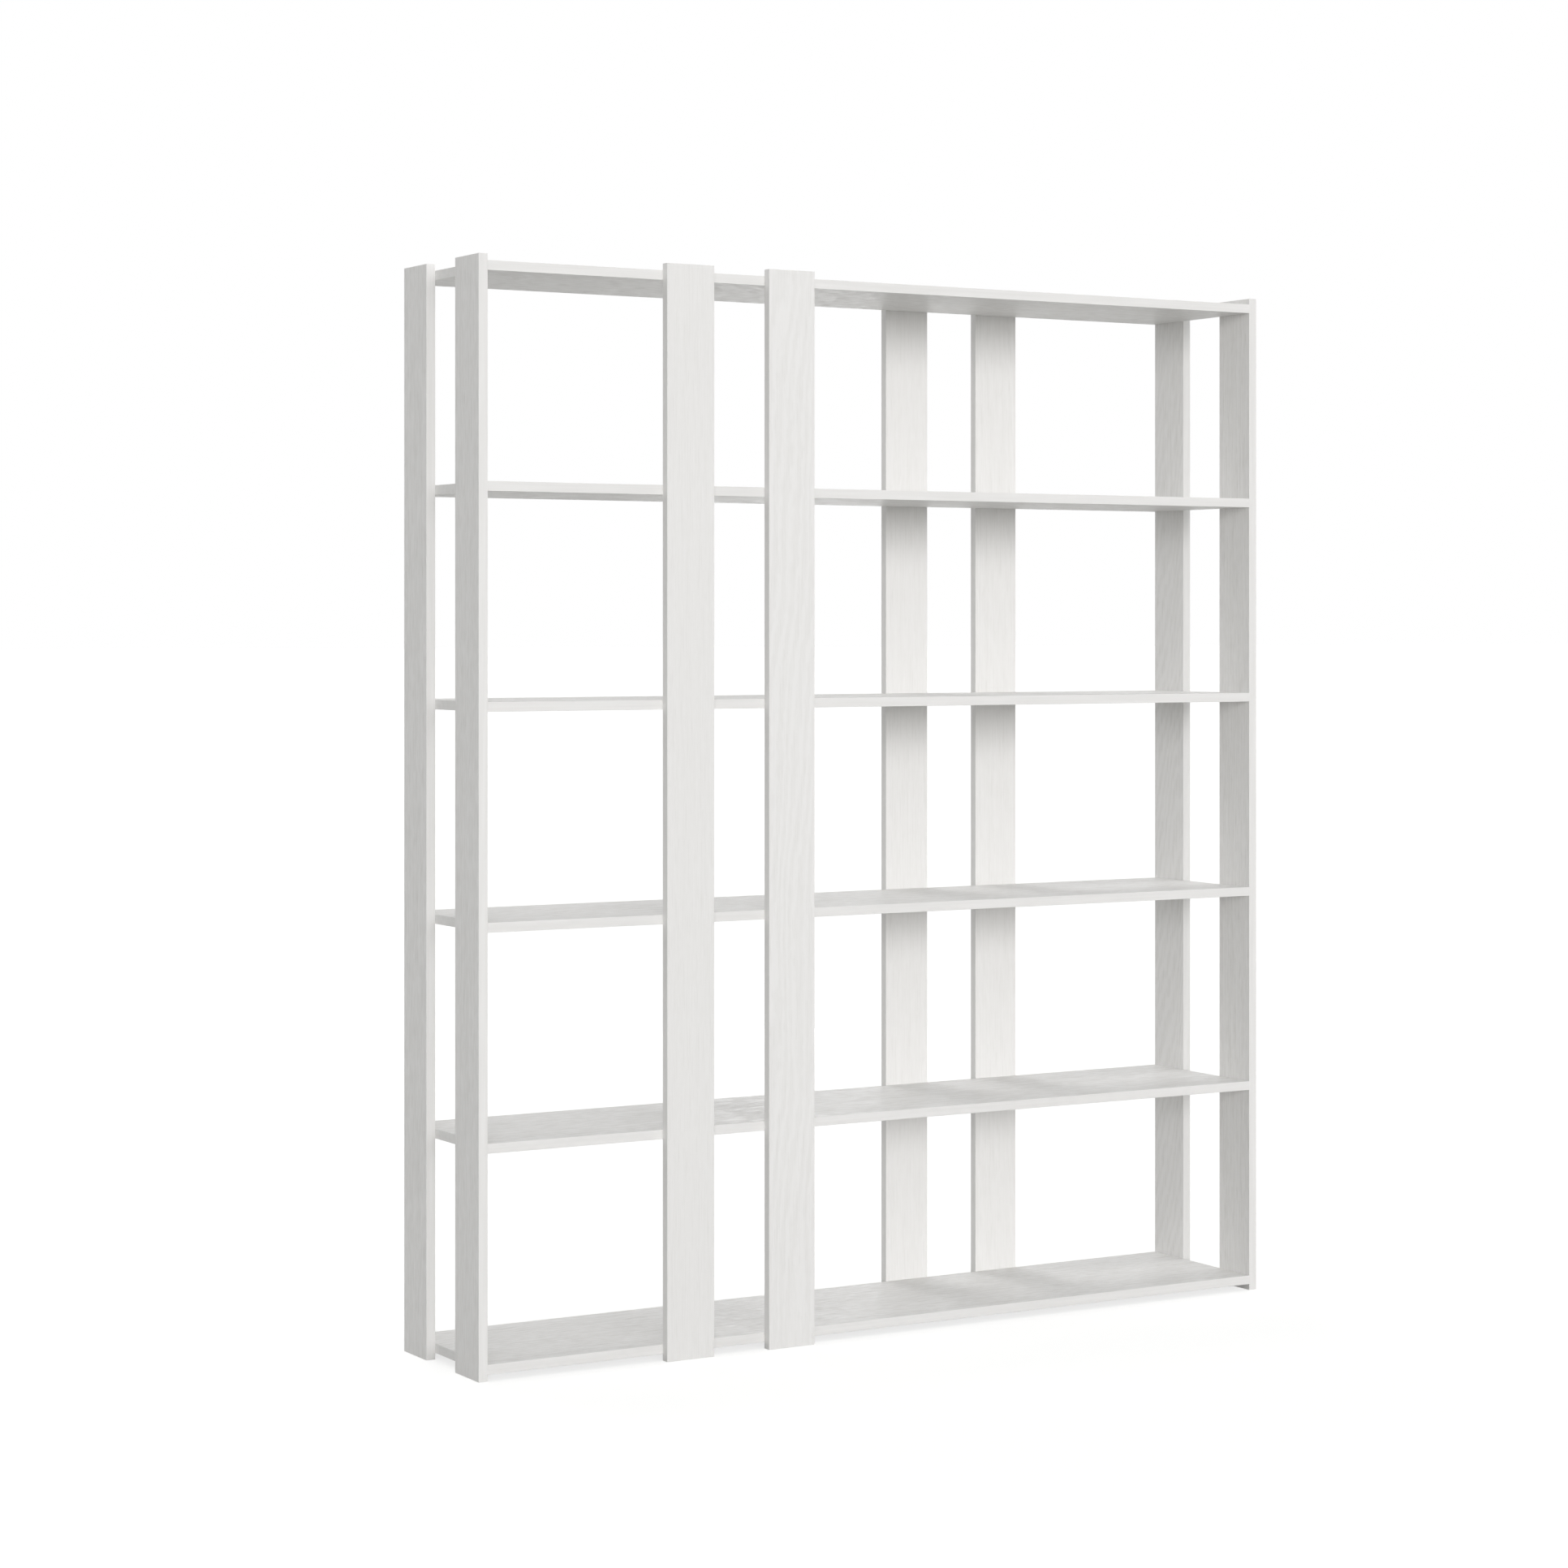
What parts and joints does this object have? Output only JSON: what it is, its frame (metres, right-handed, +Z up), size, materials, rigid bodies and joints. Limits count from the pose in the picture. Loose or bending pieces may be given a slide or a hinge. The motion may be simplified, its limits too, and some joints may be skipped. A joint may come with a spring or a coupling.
{
  "type": "open bookcase",
  "caption": "Tall open bookcase of white wood-grain board: long level shelves held between narrow upright boards, with no back, doors or side panels.",
  "frame": {"origin": "on the floor, in the middle of the plan of the whole bookcase", "axes": "+X along the shelves, to the right seen from the front; +Y from the front to the back; +Z up"},
  "size_m": [1.77, 0.36, 2.04],
  "materials": {
    "white_board": "particle board with satin white embossed wood-grain melamine facing",
    "white_edging": "satin white plastic strip with a faint lengthwise grain",
    "beech_dowel": "plain fluted beech",
    "bolt_steel": "bright zinc-plated steel",
    "cam_zinc": "tumbled die-cast zinc"
  },
  "bodies": {
    "root": {"end_upright_front_left": "white_board", "end_upright_front_left_edging": "white_edging", "end_upright_front_left_dowels": "beech_dowel", "end_upright_front_left_bolts": "bolt_steel", "end_upright_rear_left": "white_board", "end_upright_rear_left_edging": "white_edging", "end_upright_rear_left_dowels": "beech_dowel", "end_upright_rear_left_bolts": "bolt_steel", "end_upright_front_right": "white_board", "end_upright_front_right_edging": "white_edging", "end_upright_front_right_dowels": "beech_dowel", "end_upright_front_right_bolts": "bolt_steel", "end_upright_rear_right": "white_board", "end_upright_rear_right_edging": "white_edging", "end_upright_rear_right_dowels": "beech_dowel", "end_upright_rear_right_bolts": "bolt_steel", "flat_upright_front_outer": "white_board", "flat_upright_front_outer_edging": "white_edging", "flat_upright_front_outer_dowels": "beech_dowel", "flat_upright_front_outer_bolts": "bolt_steel", "flat_upright_front_inner": "white_board", "flat_upright_front_inner_edging": "white_edging", "flat_upright_front_inner_dowels": "beech_dowel", "flat_upright_front_inner_bolts": "bolt_steel", "flat_upright_rear_inner": "white_board", "flat_upright_rear_inner_edging": "white_edging", "flat_upright_rear_inner_dowels": "beech_dowel", "flat_upright_rear_inner_bolts": "bolt_steel", "flat_upright_rear_outer": "white_board", "flat_upright_rear_outer_edging": "white_edging", "flat_upright_rear_outer_dowels": "beech_dowel", "flat_upright_rear_outer_bolts": "bolt_steel", "shelf_1": "white_board", "shelf_1_edging": "white_edging", "shelf_1_cams": "cam_zinc", "shelf_2": "white_board", "shelf_2_edging": "white_edging", "shelf_2_cams": "cam_zinc", "shelf_3": "white_board", "shelf_3_edging": "white_edging", "shelf_3_cams": "cam_zinc", "shelf_4": "white_board", "shelf_4_edging": "white_edging", "shelf_4_cams": "cam_zinc", "shelf_5": "white_board", "shelf_5_edging": "white_edging", "shelf_5_cams": "cam_zinc", "shelf_6": "white_board", "shelf_6_edging": "white_edging", "shelf_6_cams": "cam_zinc"}
  },
  "joints": []
}
